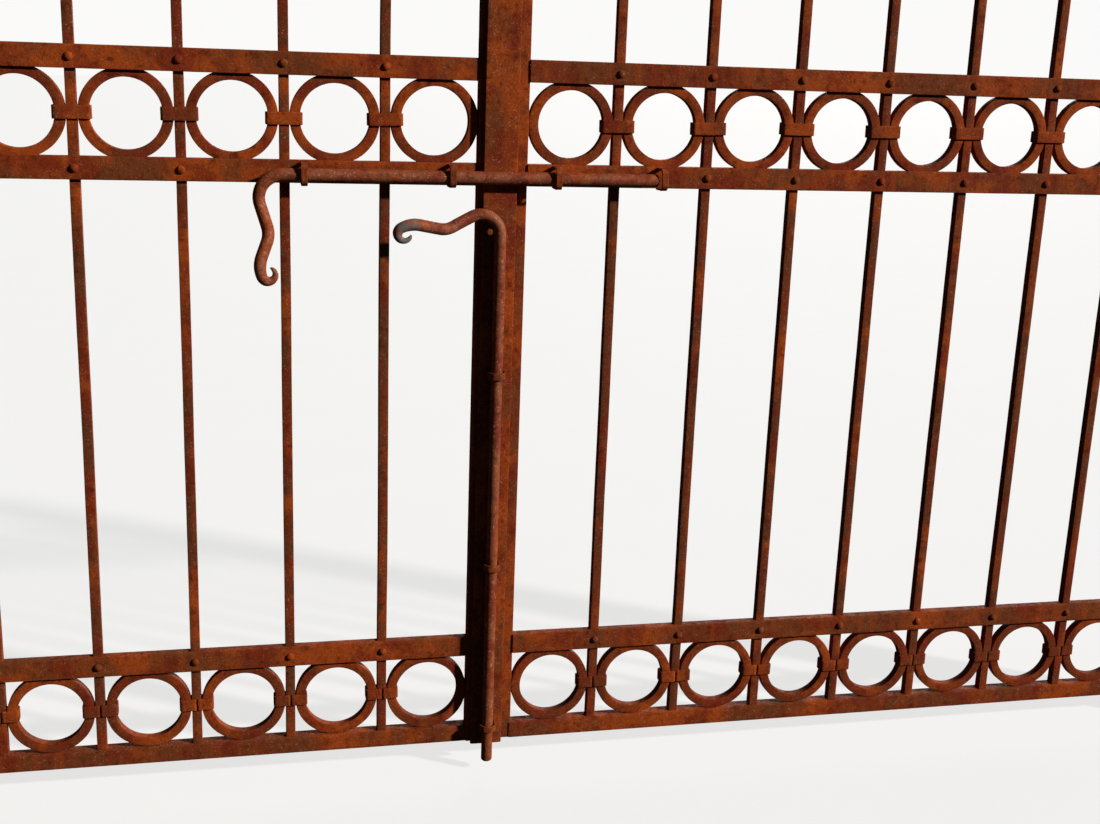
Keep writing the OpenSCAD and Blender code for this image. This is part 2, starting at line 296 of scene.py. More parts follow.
class Tree:
    """One Geometry Nodes tree with named inputs, built node by node."""

    KINDS = {"Count": "NodeSocketInt", "Material": "NodeSocketMaterial", "Start": "NodeSocketVector",
             "Step": "NodeSocketVector"}

    def __init__(self, name, *inputs):
        self.tree = bpy.data.node_groups.new(name, "GeometryNodeTree")
        face = self.tree.interface
        face.new_socket("Geometry", in_out="INPUT", socket_type="NodeSocketGeometry")
        for label in inputs:
            face.new_socket(label, in_out="INPUT", socket_type=self.KINDS.get(label, "NodeSocketFloat"))
        face.new_socket("Geometry", in_out="OUTPUT", socket_type="NodeSocketGeometry")
        self.given = self.tree.nodes.new("NodeGroupInput").outputs

    def add(self, kind, sockets=(), **settings):
        node = self.tree.nodes.new(kind)
        for key, value in settings.items():
            setattr(node, key, value)
        for key, value in dict(sockets).items():
            if isinstance(value, bpy.types.NodeSocket):
                self.tree.links.new(value, node.inputs[key])
            else:
                node.inputs[key].default_value = value
        return node.outputs[0]

    def maths(self, operation, a, b):
        return self.add("ShaderNodeMath", {0: a, 1: b}, operation=operation)

    def square(self):
        """A rounded square of the inputs Size and Edge."""
        shape = self.add(
            "GeometryNodeCurvePrimitiveQuadrilateral",
            {"Width": self.given["Size"], "Height": self.given["Size"]},
        )
        return self.add(
            "GeometryNodeFilletCurve", {"Curve": shape, "Radius": self.given["Edge"], "Count": ARC - 1},
            mode="POLY",
        )

    def along_line(self, piece):
        """piece at each point of a row that starts at Start and goes on by Step."""
        given = self.given
        row = self.add(
            "GeometryNodeMeshLine",
            {"Count": given["Count"], "Start Location": given["Start"], "Offset": given["Step"]},
        )
        return self.add("GeometryNodeInstanceOnPoints", {"Points": row, "Instance": piece})

    def jitter(self, low, high, seed):
        """A random vector between low and high for each copy."""
        node = self.tree.nodes.new("FunctionNodeRandomValue")
        node.data_type = "FLOAT_VECTOR"
        node.inputs[0].default_value = low
        node.inputs[1].default_value = high
        node.inputs["Seed"].default_value = seed
        return node.outputs[0]

    def close(self, shape):
        """Hammer marks, smooth shading and the material, then the end of the tree."""
        solid = self.add("GeometryNodeRealizeInstances", {"Geometry": shape})
        marks = self.tree.nodes.new("ShaderNodeTexNoise")
        marks.noise_dimensions = "4D"
        marks.inputs["Scale"].default_value = 55.0
        marks.inputs["Detail"].default_value = 3.0
        self.tree.links.new(self.given["Seed"], marks.inputs["W"])
        depth = self.maths("MULTIPLY", marks.outputs["Fac"], self.given["Dents"])
        push = self.tree.nodes.new("ShaderNodeVectorMath")
        push.operation = "SCALE"
        self.tree.links.new(self.add("GeometryNodeInputNormal"), push.inputs[0])
        self.tree.links.new(self.maths("MULTIPLY", depth, -1.0), push.inputs["Scale"])
        worn = self.add("GeometryNodeSetPosition", {"Geometry": solid, "Offset": push.outputs[0]})
        smooth = self.add("GeometryNodeSetShadeSmooth", {"Geometry": worn})
        done = self.add("GeometryNodeSetMaterial", {"Geometry": smooth, "Material": self.given["Material"]})
        self.tree.links.new(done, self.tree.nodes.new("NodeGroupOutput").inputs[0])
        return self.tree


def bars_tree():
    """Square bars with an upset foot, each one a little bowed."""
    t = Tree("Forged bars", "Count", "Start", "Step", "Size", "Edge", "Height", "Flare", "Flare Height",
             "Bow", "Dents", "Seed", "Material")
    top = t.add("ShaderNodeCombineXYZ", {"Z": t.given["Height"]})
    line = t.add("GeometryNodeCurvePrimitiveLine", {"Start": (0, 0, 0), "End": top})
    line = t.add("GeometryNodeResampleCurve", {"Curve": line, "Length": 12 * MM}, mode="LENGTH")
    level = t.tree.nodes.new("ShaderNodeSeparateXYZ")
    t.tree.links.new(t.add("GeometryNodeInputPosition"), level.inputs[0])
    wide = t.maths("ADD", t.given["Flare"], 1.0)
    girth = t.add(
        "ShaderNodeMapRange", {0: level.outputs["Z"], 1: 0.0, 2: t.given["Flare Height"], 3: wide, 4: 1.0},
        interpolation_type="SMOOTHSTEP",
    )
    line = t.add("GeometryNodeSetCurveRadius", {"Curve": line, "Radius": girth})
    bar = t.add("GeometryNodeCurveToMesh", {"Curve": line, "Profile Curve": t.square(), "Fill Caps": True})
    row = t.add("GeometryNodeRealizeInstances", {"Geometry": t.along_line(bar)})
    sway = t.tree.nodes.new("ShaderNodeTexNoise")
    sway.noise_dimensions = "4D"
    sway.inputs["Scale"].default_value = 3.4
    sway.inputs["Detail"].default_value = 1.0
    t.tree.links.new(t.given["Seed"], sway.inputs["W"])
    centred = t.add(
        "ShaderNodeVectorMath", {0: sway.outputs["Color"], 1: (0.5, 0.5, 0.5)}, operation="SUBTRACT"
    )
    reach = t.add("ShaderNodeCombineXYZ", {"X": t.given["Bow"], "Y": t.given["Bow"]})
    offset = t.add("ShaderNodeVectorMath", {0: centred, 1: reach}, operation="MULTIPLY")
    return t.close(t.add("GeometryNodeSetPosition", {"Geometry": row, "Offset": offset}))


def rings_tree():
    """Rings of square bar, standing in a row."""
    t = Tree("Forged rings", "Count", "Start", "Step", "Size", "Edge", "Radius", "Dents", "Seed", "Material")
    circle = t.add("GeometryNodeCurvePrimitiveCircle", {"Resolution": 80, "Radius": t.given["Radius"]})
    ring = t.add("GeometryNodeCurveToMesh", {"Curve": circle, "Profile Curve": t.square()})
    ring = t.add("GeometryNodeTransform", {"Geometry": ring, "Rotation": (math.pi / 2, 0, 0)})
    return t.close(t.along_line(ring))


def copies_tree():
    """Copies of the given piece along a row, each placed, turned and sized a little differently."""
    t = Tree("Forged copies", "Count", "Start", "Step", "Stray", "Dents", "Seed", "Material")
    row = t.along_line(t.given["Geometry"])
    stray = t.add("ShaderNodeVectorMath", {0: t.jitter((0, 0, -1), (0, 0, 1), 5), "Scale": t.given["Stray"]},
                  operation="SCALE")
    row = t.add("GeometryNodeTranslateInstances", {"Instances": row, "Translation": stray})
    turn = t.jitter((-0.03, -0.035, -0.02), (0.03, 0.035, 0.02), 3)
    row = t.add("GeometryNodeRotateInstances", {"Instances": row, "Rotation": turn})
    grow = t.jitter((0.97, 0.97, 0.95), (1.03, 1.03, 1.04), 8)
    row = t.add("GeometryNodeScaleInstances", {"Instances": row, "Scale": grow})
    return t.close(row)


def weathered_tree():
    """The given piece with hammer marks and its rust."""
    t = Tree("Weathered iron", "Dents", "Seed", "Material")
    return t.close(t.given["Geometry"])


TREES = {}
MAKERS = {"bars": bars_tree, "rings": rings_tree, "copies": copies_tree, "weathered": weathered_tree}


def grown(name, kind, slot, mesh=None, **values):
    """The plain mesh object that a tree makes out of mesh and its inputs."""
    if kind not in TREES:
        TREES[kind] = MAKERS[kind]()
    tree = TREES[kind]
    values = {"Material": MATERIALS[slot], "Dents": bpy.context.scene.gate_sizes.dents, "Seed": 1.0, **values}
    piece = bpy.data.objects.new(name, mesh or bpy.data.meshes.new(name))
    bpy.context.scene.collection.objects.link(piece)
    modifier = piece.modifiers.new(tree.name, "NODES")
    modifier.node_group = tree
    for item in tree.interface.items_tree:
        if item.in_out == "INPUT" and item.name in values:
            value = values[item.name]
            modifier[item.identifier] = tuple(value) if isinstance(value, Vector) else value
    graph = bpy.context.evaluated_depsgraph_get()
    made = bpy.data.meshes.new_from_object(piece.evaluated_get(graph))
    made.name = name
    piece.modifiers.clear()
    piece.data = made
    return piece


# ---------------------------------------------------------------- shapes

def fillet(corners, radius, step=8 * MM):
    """A closed outline with its square corners rounded and its straights divided."""
    points = []
    for i, corner in enumerate(corners):
        p = Vector(corner)
        u = (Vector(corners[i - 1]) - p).normalized()
        v = (Vector(corners[(i + 1) % len(corners)]) - p).normalized()
        centre = p + radius * (u + v)
        for k in range(ARC + 1):
            angle = k / ARC * math.pi / 2
            points.append(centre - radius * (v * math.cos(angle) + u * math.sin(angle)))
    outline = []
    for i, p in enumerate(points):
        q = points[(i + 1) % len(points)]
        parts = max(1, math.ceil((q - p).length / step))
        outline += [p.lerp(q, k / parts) for k in range(parts)]
    return outline


def rectangle(width, height, radius, step=8 * MM):
    a, b = width / 2, height / 2
    return fillet([(-a, -b), (a, -b), (a, b), (-a, b)], radius, step)


def circle(radius, sides=24):
    return [
        Vector((radius * math.cos(2 * math.pi * k / sides), radius * math.sin(2 * math.pi * k / sides)))
        for k in range(sides)
    ]


def skin(mesh, rings, closed=False):
    """Faces from ring to ring of a mesh's points, with both ends filled unless the rings close up."""
    faces = []
    for i in range(len(rings) if closed else len(rings) - 1):
        here, there = rings[i], rings[(i + 1) % len(rings)]
        for j in range(len(here)):
            k = (j + 1) % len(here)
            faces.append(mesh.faces.new((here[j], here[k], there[k], there[j])))
    if not closed:
        faces.append(mesh.faces.new(rings[0][::-1]))
        faces.append(mesh.faces.new(rings[-1]))
    bmesh.ops.recalc_face_normals(mesh, faces=faces)
    return mesh


def sweep(path, outline, up, scales=None, closed=False, into=None):
    """A closed mesh: an outline carried along a path that lies square to up."""
    mesh = into or bmesh.new()
    last = len(path) - 1
    rings = []
    for i, point in enumerate(path):
        before = path[i - 1] if i or closed else path[0]
        after = path[(i + 1) % len(path)] if i < last or closed else path[last]
        side = up.cross(after - before).normalized()
        grow = scales[i] if scales else 1.0
        rings.append([mesh.verts.new(point + grow * (p.x * side + p.y * up)) for p in outline])
    return skin(mesh, rings, closed)


def straight(start, end, half, edge, step=10 * MM):
    """Points and scales of a straight bar with softened ends; half is half its thickness."""
    start, end = Vector(start), Vector(end)
    whole = (end - start).length
    rounding = [k / ARC * math.pi / 2 for k in range(ARC + 1)]
    ends = [(edge * (1 - math.cos(a)), 1 - edge * (1 - math.sin(a)) / half) for a in rounding]
    count = max(1, round((whole - 2 * edge) / step))
    middle = [(edge + (whole - 2 * edge) * k / count, 1.0) for k in range(1, count)]
    run = ends + middle + [(whole - s, g) for s, g in reversed(ends)]
    return [start.lerp(end, s / whole) for s, g in run], [g for s, g in run]


def to_mesh(mesh, name):
    data = bpy.data.meshes.new(name)
    mesh.to_mesh(data)
    mesh.free()
    return data


def block(low, high, axis, edge, into=None):
    """A bar between two corners, run along one axis, with all its edges softened."""
    low, high = Vector(low), Vector(high)
    centre, size = (low + high) / 2, high - low
    start, end = centre.copy(), centre.copy()
    start[axis], end[axis] = low[axis], high[axis]
    up = Vector((1, 0, 0)) if axis == 2 else UP
    tall = size.x if axis == 2 else size.z
    wide = size.x if axis == 1 else size.y
    path, scales = straight(start, end, min(wide, tall) / 2, edge)
    return sweep(path, rectangle(wide, tall, edge), up, scales, into=into)


def turned(profile, centre, into=None, sides=32):
    """A solid turned about an upright axis; profile lists (radius, level) from the foot to the top."""
    mesh = into or bmesh.new()
    centre = Vector(centre)
    rings = [
        [mesh.verts.new(centre + Vector((*p, level))) for p in circle(radius, sides)]
        for radius, level in profile
    ]
    return skin(mesh, rings)


def stack(levels, centre):
    """A closed solid of rounded squares; levels lists (height, width, corner radius)."""
    mesh = bmesh.new()
    centre = Vector(centre)
    rings = []
    for height, width, radius in levels:
        outline = rectangle(width, width, radius, step=1.0)
        rings.append([mesh.verts.new(centre + Vector((p.x, p.y, height))) for p in outline])
    return skin(mesh, rings)


def arc(centre, radius, start, turn, count):
    """Points of an arc in the plane, angles in degrees."""
    return [
        Vector(centre) + radius * Vector((math.cos(a), math.sin(a)))
        for a in (math.radians(start + turn * k / count) for k in range(count + 1))
    ]


def finished(piece, body, slot, *nodes):
    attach(piece, body)
    if nodes:
        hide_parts(*nodes)
    return piece


# ---------------------------------------------------------------- rows of a leaf

def ring_row(side, row):
    """Spacing, outer radius and first centre of a row of rings."""
    bays = bpy.context.scene.gate_sizes.bays
    low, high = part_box(f"{side}_bars")
    bay = (high.x - low.x - BAR) / (bays - 2)
    low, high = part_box(f"{side}_{row}_rings")
    radius = (high.x - low.x - bay * (bays - 1)) / 2
    level = low.z + radius if row == "lower" else (low.z + high.z) / 2
    return bay, radius, Vector((low.x + radius, 0, level))


def bar_row(side):
    """Spacing of the bars, the place of the first one's foot and their height."""
    bay = ring_row(side, "lower")[0]
    low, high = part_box(f"{side}_bars")
    return bay, Vector((low.x + BAR / 2, 0, low.z)), high.z - low.z


def body_of(side):
    return f"{side}_leaf"


def make_bars(side):
    sizes = bpy.context.scene.gate_sizes
    bay, foot, height = bar_row(side)
    return grown(
        f"{side}_bars_forged", "bars", "rusty_bars", Count=sizes.bays - 1, Start=foot,
        Step=Vector((bay, 0, 0)), Size=BAR, Edge=sizes.soft_edge, Height=height, Flare=sizes.foot_flare,
        **{"Flare Height": UPSET}, Bow=sizes.bow * 2, Seed=2.0 + LEAVES.index(side),
    )


def make_points(side):
    """Four-sided points, drawn out a little hollow."""
    sizes = bpy.context.scene.gate_sizes
    bay, foot, height = bar_row(side)
    rise = size_of(f"{side}_bar_points").z
    levels = []
    steps = 10
    for k in range(steps + 1):
        share = k / steps
        width = POINT_TIP + (BAR - POINT_TIP) * (1 - share) ** HOLLOW
        levels.append((share * rise, width, min(sizes.soft_edge, width * 0.3)))
    levels.append((rise, POINT_TIP / 2, POINT_TIP / 6))
    mesh = to_mesh(stack(levels, (0, 0, 0)), "point")
    top = foot + Vector((0, 0, height))
    return grown(
        f"{side}_points_forged", "copies", "rusty_bars", mesh, Count=sizes.bays - 1, Start=top,
        Step=Vector((bay, 0, 0)), Dents=0.2 * MM,
    )


def make_rings(side, row):
    sizes = bpy.context.scene.gate_sizes
    bay, radius, first = ring_row(side, row)
    return grown(
        f"{side}_{row}_rings_forged", "rings", "rusty_rings", Count=sizes.bays, Start=first,
        Step=Vector((bay, 0, 0)), Size=BAR, Edge=sizes.soft_edge, Radius=radius - BAR / 2,
        Seed=5.0 + LEAVES.index(side),
    )


def make_collars(side, row):
    """Straps wrapped round a bar and two rings; the lower ones meet in a seam in front."""
    sizes = bpy.context.scene.gate_sizes
    bay = ring_row(side, row)[0]
    low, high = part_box(f"{side}_{row}_collars")
    wide = high.x - low.x - bay * (sizes.bays - 2)
    deep, tall = high.y - low.y, high.z - low.z
    strap = sizes.strap
    loop = [Vector((p.x, p.y, 0)) for p in rectangle(wide - strap, deep - strap, 3.2 * MM, 6 * MM)]
    section = rectangle(strap, tall, 1.4 * MM, 4 * MM)
    front = -(deep - strap) / 2
    if row == "lower":
        seam = min(range(len(loop)), key=lambda i: (abs(loop[i].y - front), abs(loop[i].x)))
        run = [Vector((SEAM, front, 0)), *loop[seam + 1:], *loop[:seam], Vector((-SEAM, front, 0))]
        mesh = sweep(run, section, UP)
    else:
        mesh = sweep(loop, section, UP, closed=True)
    start = Vector((low.x + wide / 2, 0, (low.z + high.z) / 2))
    return grown(
        f"{side}_{row}_collars_forged", "copies", "rusty_rings", to_mesh(mesh, "collar"),
        Count=sizes.bays - 1, Start=start, Step=Vector((bay, 0, 0)), Stray=sizes.stray, Seed=9.0,
    )


def make_rivets(side, rail):
    """Domed rivet heads on a rail's face, one at each bar."""
    sizes = bpy.context.scene.gate_sizes
    bay, foot = bar_row(side)[:2]
    low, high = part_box(f"{side}_{rail}_rail")
    radius, rise = sizes.rivet / 2, sizes.rivet_rise
    angles = [math.radians(a) for a in (4, 20, 38, 56, 72, 84)]
    dome = [(radius * math.cos(a), rise * math.sin(a)) for a in angles]
    mesh = turned([(radius * 0.9, -0.6 * MM), *dome], (0, 0, 0), sides=16)
    bmesh.ops.transform(mesh, matrix=Matrix.Rotation(math.pi / 2, 4, "X"), verts=mesh.verts)
    start = Vector((foot.x, low.y, (low.z + high.z) / 2))
    return grown(
        f"{side}_{rail}_rivets", "copies", "rusty_iron", to_mesh(mesh, "rivet"), Count=sizes.bays - 1,
        Start=start, Step=Vector((bay, 0, 0)), Dents=0.9 * MM, Seed=13.0,
    )


def make_channel(side, rail):
    """A channel rail with its web in front."""
    edge = bpy.context.scene.gate_sizes.rail_edge
    low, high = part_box(f"{side}_{rail}_rail")
    tall = high.z - low.z
    outline = fillet([
        (low.y, 0), (high.y, 0), (high.y, FLANGE), (low.y + WEB, FLANGE),
        (low.y + WEB, tall - FLANGE), (high.y, tall - FLANGE), (high.y, tall), (low.y, tall),
    ], edge)
    path = straight((low.x, 0, low.z), (high.x, 0, low.z), 1.0, 0.2 * MM)[0]
    mesh = sweep(path, outline, UP)
    return grown(f"{side}_{rail}_rail_forged", "weathered", "rusty_iron", to_mesh(mesh, "rail"), Seed=17.0)


def make_solid(node, slot, edge, axis, seed, overrun=0.0):
    """A solid bar in place of a node, run on past its ends where other iron hides them."""
    low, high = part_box(node)
    low[axis] -= overrun
    high[axis] += overrun
    mesh = block(low, high, axis, edge)
    return grown(node + "_forged", "weathered", slot, to_mesh(mesh, node), Seed=seed)


# ---------------------------------------------------------------- bolts

# Lines of the two handles: lengths in mm and turns in degrees of their six stretches
DROP_LINE = ((74, 116), (39, 0), (26, -38), (38, 0), (34, 40), (49, 236))
SLIDE_LINE = ((74, 107), (39, 0), (26, -38), (26, 0), (34, 40), (49, 236))
GIRTH = ((0, 1.6), (6, 4), (18, 5.8), (38, 9.3), (70, 11))  # distance from the tip and radius, in mm
NECK = 60  # over this length a handle takes its own thickness
LEAN = (36, 150)  # how far a handle leans out, and over what length


def lookup(pairs, x):
    for (a, p), (b, q) in zip(pairs, pairs[1:]):
        if x <= b:
            return p + (q - p) * (x - a) / (b - a)
    return pairs[-1][1]


def heading(line, s):
    """Direction of a handle's line at distance s, in degrees."""
    angle = 90
    for stretch, turn in line:
        angle += turn * max(0, min(1, s / stretch))
        s -= stretch
    return angle


def handle_line(line, rod, steps=110):
    """Points and radii of a waved and curled handle, in metres, starting upwards."""
    whole = sum(stretch for stretch, turn in line)
    step = whole / steps
    x = z = 0.0
    points = []
    for i in range(steps + 1):
        s = i * step
        if s < NECK:
            radius = lookup(((0, rod / MM), (NECK, GIRTH[-1][1])), s)
        else:
            radius = lookup(GIRTH, whole - s)
        t = max(0, min(1, (s - NECK) / LEAN[1]))
        points.append((Vector((x, -LEAN[0] * t * t * (3 - 2 * t), z)) * MM, radius * MM))
        angle = math.radians(heading(line, s + step / 2))
        x += step * math.cos(angle)
        z += step * math.sin(angle)
    return points


def bolt(rod_tip, bend, turn, radius, line):
    """A round bar from its rounded tip to the bend, running on into its handle."""
    rod_tip, bend = Vector(rod_tip), Vector(bend)
    whole = (bend - rod_tip).length
    spin = Matrix.Rotation(-turn, 4, "Y")
    path, scales = [], []
    for k in range(ARC + 2):
        angle = k / (ARC + 1) * math.pi / 2
        path.append(rod_tip.lerp(bend, BLUNT * (1 - math.cos(angle)) / whole))
        scales.append(0.35 + 0.65 * math.sin(angle))
    count = round(whole / (9 * MM))
    for k in range(1, count):
        path.append(rod_tip.lerp(bend, (BLUNT + (whole - BLUNT) * k / count) / whole))
        scales.append(1.0)
    for point, thick in handle_line(line, radius):
        path.append(bend + spin @ point)
        scales.append(thick / radius)
    return sweep(path, circle(radius, 28), ACROSS, scales)


def strap_path(wide, deep, corner):
    """A U in the plane: from the open side at x = 0 round the front and back."""
    half = wide / 2
    run = [Vector((-0.5 * MM, -half)), Vector((deep / 3, -half))]
    run += arc((deep - corner, corner - half), corner, -90, 90, 8)
    run += arc((deep - corner, half - corner), corner, 0, 90, 8)
    return run + [Vector((deep / 3, half)), Vector((-0.5 * MM, half))]


def band(wide, deep, tall, corner):
    """A strap bent into a U, as a mesh that opens towards +Y and stands in a level plane."""
    strap = bpy.context.scene.gate_sizes.strap
    run = strap_path(wide - strap, deep - strap / 2, corner - strap / 2)
    path = [Vector((p.y, -p.x, 0)) for p in run]
    return sweep(path, rectangle(strap, tall, 1.3 * MM, 4 * MM), UP)


# ---------------------------------------------------------------- operators

class GATE_OT_finishes(bpy.types.Operator):
    """Make the rust finishes"""

    bl_idname = "gate.finishes"
    bl_label = "Rust finishes"

    def execute(self, context):
        make_materials()
        return {"FINISHED"}


class GATE_OT_bars(bpy.types.Operator):
    """Forge the upright bars and their points"""

    bl_idname = "gate.bars"
    bl_label = "Bars and points"

    def execute(self, context):
        for side in LEAVES:
            finished(make_bars(side), body_of(side), "rusty_iron", f"{side}_bars")
            finished(make_points(side), body_of(side), "rusty_iron", f"{side}_bar_points")
        return {"FINISHED"}


class GATE_OT_rings(bpy.types.Operator):
    """Forge the two rows of rings and the collars that tie them"""

    bl_idname = "gate.rings"
    bl_label = "Rings and collars"

    def execute(self, context):
        for side in LEAVES:
            for row in ("upper", "lower"):
                finished(make_rings(side, row), body_of(side), "rusty_iron", f"{side}_{row}_rings")
                finished(make_collars(side, row), body_of(side), "rusty_iron", f"{side}_{row}_collars")
        return {"FINISHED"}


class GATE_OT_rails(bpy.types.Operator):
    """Make the rails and their rivets"""

    bl_idname = "gate.rails"
    bl_label = "Rails and rivets"

    def execute(self, context):
        sizes = context.scene.gate_sizes
        for side in LEAVES:
            for rail in ("top", "lock", "lower"):
                finished(make_channel(side, rail), body_of(side), "rusty_iron", f"{side}_{rail}_rail")
                finished(make_rivets(side, rail), body_of(side), "rusty_iron")
            node = f"{side}_bottom_rail"
            piece = make_solid(node, "rusty_iron", sizes.rail_edge, 0, 21.0, OVERRUN)
            finished(piece, body_of(side), "rusty_iron", node)
        return {"FINISHED"}


class GATE_OT_stiles(bpy.types.Operator):
    """Make the stiles and the strip that covers the joint"""

    bl_idname = "gate.stiles"
    bl_label = "Stiles and cover strip"

    def execute(self, context):
        sizes = context.scene.gate_sizes
        for side in LEAVES:
            for seed, kind in ((25.0, "meeting"), (29.0, "hinge")):
                node = f"{side}_{kind}_stile"
                piece = make_solid(node, "rusty_iron", sizes.rail_edge, 2, seed + LEAVES.index(side))
                finished(piece, body_of(side), "rusty_iron", node)
        strip = make_solid("cover_strip", "fitting_iron", sizes.rail_edge, 2, 33.0)
        finished(strip, "left_leaf", "fitting_iron", "cover_strip")
        return {"FINISHED"}


class GATE_OT_bolts(bpy.types.Operator):
    """Forge the sliding bolt and the drop bolt with their handles"""

    bl_idname = "gate.bolts"
    bl_label = "Bolts"

    def execute(self, context):
        low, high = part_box("drop_bolt_rod")
        x, y = (low.x + high.x) / 2, (low.y + high.y) / 2
        mesh = bolt((x, y, low.z), (x, y, high.z), 0.0, (high.x - low.x) / 2, DROP_LINE)
        self.forge("drop_bolt", mesh, 37.0)
        low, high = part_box("slide_bolt_rod")
        y, z = (low.y + high.y) / 2, (low.z + high.z) / 2
        mesh = bolt((high.x, y, z), (low.x, y, z), math.pi / 2, (high.z - low.z) / 2, SLIDE_LINE)
        self.forge("slide_bolt", mesh, 41.0)
        return {"FINISHED"}

    def forge(self, name, mesh, seed):
        piece = grown(f"{name}_forged", "weathered", "bolt_iron", to_mesh(mesh, name), Seed=seed)
        finished(piece, name, "bolt_iron", f"{name}_rod", f"{name}_handle")


class GATE_OT_bands(bpy.types.Operator):
    """Bend the bands that hold the bolts, and the peg"""

    bl_idname = "gate.bands"
    bl_label = "Bands and peg"

    def execute(self, context):
        for side in LEAVES:
            low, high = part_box(f"{side}_bolt_bands")
            mesh = band(high.z - low.z, high.y - low.y, SLIDE_BAND, SLIDE_BAND)
            bmesh.ops.transform(mesh, matrix=Matrix.Rotation(math.pi / 2, 4, "Y"), verts=mesh.verts)
            start = Vector((low.x + SLIDE_BAND / 2, high.y, (low.z + high.z) / 2))
            step = Vector((high.x - low.x - SLIDE_BAND, 0, 0))
            piece = grown(f"{side}_bolt_bands_forged", "copies", "fitting_iron", to_mesh(mesh, "band"),
                          Count=2, Start=start, Step=step, Seed=45.0)
            finished(piece, body_of(side), "fitting_iron", f"{side}_bolt_bands")
        self.drop_bands()
        self.peg()
        return {"FINISHED"}

    def peg(self):
        """A short round peg that stands out of the strip, with a worn rim."""
        low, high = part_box("drop_bolt_peg")
        radius = (high.x - low.x) / 2
        deep = high.y - low.y
        rim = [(radius, deep - 1.5 * MM), (radius * 0.82, deep - 0.3 * MM), (radius * 0.5, deep)]
        mesh = turned([(radius, 0), *rim], (0, 0, 0), sides=20)
        bmesh.ops.transform(mesh, matrix=Matrix.Rotation(math.pi / 2, 4, "X"), verts=mesh.verts)
        centre = (low + high) / 2
        bmesh.ops.translate(mesh, vec=(centre.x, high.y, centre.z), verts=mesh.verts)
        piece = grown("drop_bolt_peg_forged", "weathered", "fitting_iron", to_mesh(mesh, "peg"), Seed=49.0)
        finished(piece, "left_leaf", "fitting_iron", "drop_bolt_peg")

    def drop_bands(self):
        """Three bands at their own levels, read from the node's separate solids."""
        low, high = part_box("drop_bolt_bands")
        mesh = bmesh.new()
        centre = (low.x + high.x) / 2
        for level in levels_of("drop_bolt_bands", DROP_BAND):
            one = band(high.x - low.x, high.y - low.y, DROP_BAND, DROP_BAND)
            bmesh.ops.translate(one, vec=(centre, high.y, level), verts=one.verts)
            part = to_mesh(one, "band")
            mesh.from_mesh(part)
            bpy.data.meshes.remove(part)
        piece = grown("drop_bolt_bands_forged", "weathered", "fitting_iron", to_mesh(mesh, "bands"),
                      Seed=53.0)
        finished(piece, "left_leaf", "fitting_iron", "drop_bolt_bands")


def levels_of(node, tall):
    """Middle levels of a node's separate solids, each of them tall high."""
    found = []
    for z in sorted(v.co.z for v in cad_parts[node].data.vertices):
        if not found or z > found[-1] + tall * 0.51:
            found.append(z + tall / 2)
    return found


class GATE_OT_hinges(bpy.types.Operator):
    """Forge the hinge eyes and their pintles"""

    bl_idname = "gate.hinges"
    bl_label = "Hinges"

    def execute(self, context):
        for side in LEAVES:
            low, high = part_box(f"{side}_hinge_eyes")
            radius = (high.y - low.y) / 2
            line = (radius + EYE_BORE) / 2
            wall = rectangle(radius - EYE_BORE, EYE_TALL, 1.6 * MM, 6 * MM)
            pin, stile, inner = low.x + radius, high.x, low.x + radius + line
            if side == "right":
                pin, stile, inner = high.x - radius, low.x, high.x - radius - line
            eyes, pintles = bmesh.new(), bmesh.new()
            for foot in (low.z, high.z - EYE_TALL):
                loop = [Vector((pin + p.x, p.y, foot + EYE_TALL / 2)) for p in circle(line, 40)]
                sweep(loop, wall, UP, closed=True, into=eyes)
                block((min(inner, stile), -8 * MM, foot), (max(inner, stile), 8 * MM, foot + EYE_TALL),
                      0, 2 * MM, eyes)
                self.pintle(pintles, pin, foot, side)
            piece = grown(f"{side}_hinge_eyes_forged", "weathered", "fitting_iron", to_mesh(eyes, "eyes"),
                          Seed=57.0)
            finished(piece, body_of(side), "fitting_iron", f"{side}_hinge_eyes")
            piece = grown(f"{side}_pintles_forged", "weathered", "fitting_iron", to_mesh(pintles, "pintles"),
                          Seed=61.0, Dents=0.2 * MM)
            finished(piece, "posts", "fitting_iron", f"{side}_pintles")
        return {"FINISHED"}

    def pintle(self, mesh, pin, foot, side):
        """A pin with a shoulder, on an arm that comes out of the post."""
        low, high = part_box(f"{side}_pintles")
        under, shoulder, top = -30 * MM, -0.3 * MM, 50 * MM
        profile = [(13 * MM, under), (15 * MM, under + 2 * MM), (15 * MM, shoulder - 1 * MM),
                   (14.2 * MM, shoulder), (9 * MM, shoulder), (9 * MM, top - 3 * MM),
                   (7.8 * MM, top - 1 * MM), (4 * MM, top)]
        turned(profile, (pin, 0, foot), mesh)
        post = low.x if side == "left" else high.x
        block((min(pin, post), -11 * MM, foot + under), (max(pin, post), 11 * MM, foot + under + 22 * MM),
              0, 2 * MM, mesh)


